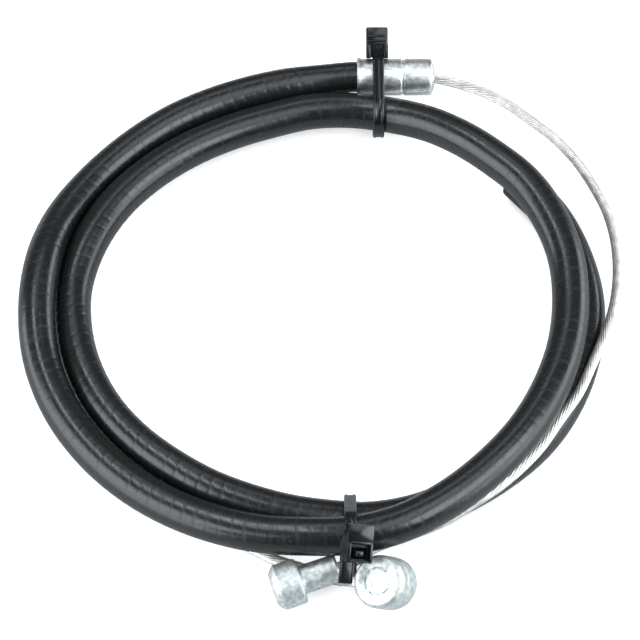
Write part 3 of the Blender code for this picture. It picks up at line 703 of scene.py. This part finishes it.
top_x = COIL_CENTRE.x + 10.35 * MM
top_strand = section(casing_fine, top_x, (ferrule_back.y - 7 * MM, ferrule_back.z))
top_wire = section(second_path, top_x, (ferrule_back.y - 3.6 * MM, ferrule_back.z - 2.4 * MM))
top_mesh = bmesh.new()
strap(top_mesh, top_x, [(ferrule_back, skin_r), (top_strand, CASING_R * 1.02), (top_wire, WIRE_R)])
top_middle = Vector((top_x - 0.15 * MM, ferrule_back.y, ferrule_back.z))
top_pose = facing(top_middle + VIEW_UP * (skin_r + FIT_GAP / 2 + TOP_LONG / 2)
                  - VIEW_OUT * HEAD_THICK * 0.2, 0)
top_blocks = [((-1, -0.5, 0.92, 0.5), (-1, -0.5, 1, 0.5), 0.78 * HEAD_THICK, 0.0, 0.10, 2)]
for low, high in ((0.16, 0.24), (0.0, 0.07), (-0.10, -0.05)):
    step = (-0.86, low, 0.80, high)
    top_blocks.append((step, widened(step, 0.04, 0.01), 0.86 * HEAD_THICK, 0.7 * HEAD_THICK, 0.05, 1))
for front, back in (
        ((-0.98, -0.56, -0.60, -0.10), (-1, -0.56, -0.57, -0.10)),
        ((0.60, -0.56, 0.98, -0.10), (0.57, -0.56, 1, -0.10))):
    top_blocks.append((front, back, 0.98 * HEAD_THICK, 0.74 * HEAD_THICK, 0.06, 2))
head(top_mesh, top_pose, TOP_HALF, TOP_LONG, top_blocks)
piece(top_mesh, "top_tie_moulded", tie_material, "tie_top", 35)

# Bottom cable tie: the same moulding round both strands and the bare wire. Its head lies on the
# upper strand with the slot towards the camera, a locking tongue in the slot and the cut tail below.
BOTTOM_HALF = 3.6 * MM / 2
BOTTOM_LONG = 5.3 * MM
BOTTOM_SHIFT = 0.93 * MM
BOTTOM_TURN = 9
BOTTOM_SLANT = -5
SUNK = 0.7 * STRAP_THICK
TAIL_LONG = 3.2 * MM
RAIL = 0.32 * STRAP_THICK
bottom_x = COIL_CENTRE.x + 5.6 * MM
bottom_upper = section(casing_fine, bottom_x, (COIL_CENTRE.y - 42.4 * MM, 8.0 * MM))
bottom_lower = section(casing_fine, bottom_x, (COIL_CENTRE.y - 37.4 * MM, 4.0 * MM))
bottom_wire = section(first_path, bottom_x, (COIL_CENTRE.y - 45.0 * MM, 4.7 * MM))
bottom_mesh = bmesh.new()
strap(bottom_mesh, bottom_x,
      [(bottom_upper, CASING_R), (bottom_lower, CASING_R), (bottom_wire, 1.3 * WIRE_R)])
bottom_middle = bottom_upper - VIEW_UP * 0.8 * MM + VIEW_OUT * (CASING_R + FIT_GAP)
bottom_pose = (facing(bottom_middle + Vector((BOTTOM_SHIFT, 0, 0)), BOTTOM_TURN)
               @ Matrix.Rotation(math.radians(BOTTOM_SLANT), 4, "Z"))

# Roof, rims of the slot, left wall, right wall, sill, floor of the slot and tongue
bottom_blocks = [((-1, -0.02, 1, 0.5), (-1.12, -0.02, 1, 0.5), HEAD_THICK, SUNK, 0.12, 2)]
for rim in ((-0.86, -0.02, 0.86, 0.05), (-0.86, -0.47, -0.74, 0.05), (0.76, -0.47, 0.88, 0.05)):
    bottom_blocks.append((rim, widened(rim, 0.03, 0.01), 1.06 * HEAD_THICK, 0.9 * HEAD_THICK, 0.04, 2))
bottom_blocks += [
    ((-1, -0.5, -0.72, 0.02), (-1.3, -0.5, -0.72, 0.02), HEAD_THICK, SUNK, 0.10, 2),
    ((0.74, -0.5, 1, 0.02), (0.74, -0.5, 1, 0.02), HEAD_THICK, SUNK, 0.10, 2),
    ((-1, -0.5, 1, -0.44), (-1.3, -0.5, 1, -0.44), HEAD_THICK, SUNK, 0.08, 2),
    ((-0.9, -0.48, 0.9, 0.0), (-1, -0.48, 1, 0.0), 0.60 * HEAD_THICK, SUNK, 0, 2),
    ((-0.22, -0.34, 0.26, -0.20), (-0.66, -0.43, 0.66, -0.10), 0.93 * HEAD_THICK, 0.55 * HEAD_THICK, 0.04, 1)]
head(bottom_mesh, bottom_pose, BOTTOM_HALF, BOTTOM_LONG, bottom_blocks)

# Sloping left flank, from the strap out to the wall
flank_rings = []
for outline, z in (
        (((-0.95, 0.5), (-1.42, -0.08), (-1.32, -0.5), (-0.8, -0.5), (-0.8, 0.5)), 1.02 * STRAP_THICK),
        (((-0.95, 0.49), (-1.38, -0.08), (-1.28, -0.48), (-0.8, -0.48), (-0.8, 0.49)), 1.25 * STRAP_THICK),
        (((-0.97, 0.48), (-1.03, -0.05), (-1.0, -0.48), (-0.8, -0.48), (-0.8, 0.48)), 0.97 * HEAD_THICK)):
    flank_rings.append([bottom_pose @ Vector((x * BOTTOM_HALF, y * BOTTOM_LONG, z)) for x, y in outline])
loft(bottom_mesh, flank_rings)

t = STRAP_THICK
left = -2.35 * MM
right = left + 1.1 * STRAP_WIDTH
low = -BOTTOM_LONG / 2 - TAIL_LONG
high = -0.3 * BOTTOM_LONG
tail_front = (left + 0.2 * t, low + 0.2 * t, right - 0.2 * t, high)
slab(bottom_mesh, bottom_pose, tail_front, (left, low, right, high), 1.66 * t, 0.8 * t, 0.05 * t)
for rail in (left, right - RAIL):
    slab(bottom_mesh, bottom_pose, (rail, low + 0.25 * t, rail + RAIL, high),
         (rail, low + 0.1 * t, rail + RAIL, high), 1.82 * t, 0.9 * t, 0.06 * t)
piece(bottom_mesh, "bottom_tie_moulded", tie_material, "tie_bottom", 35)
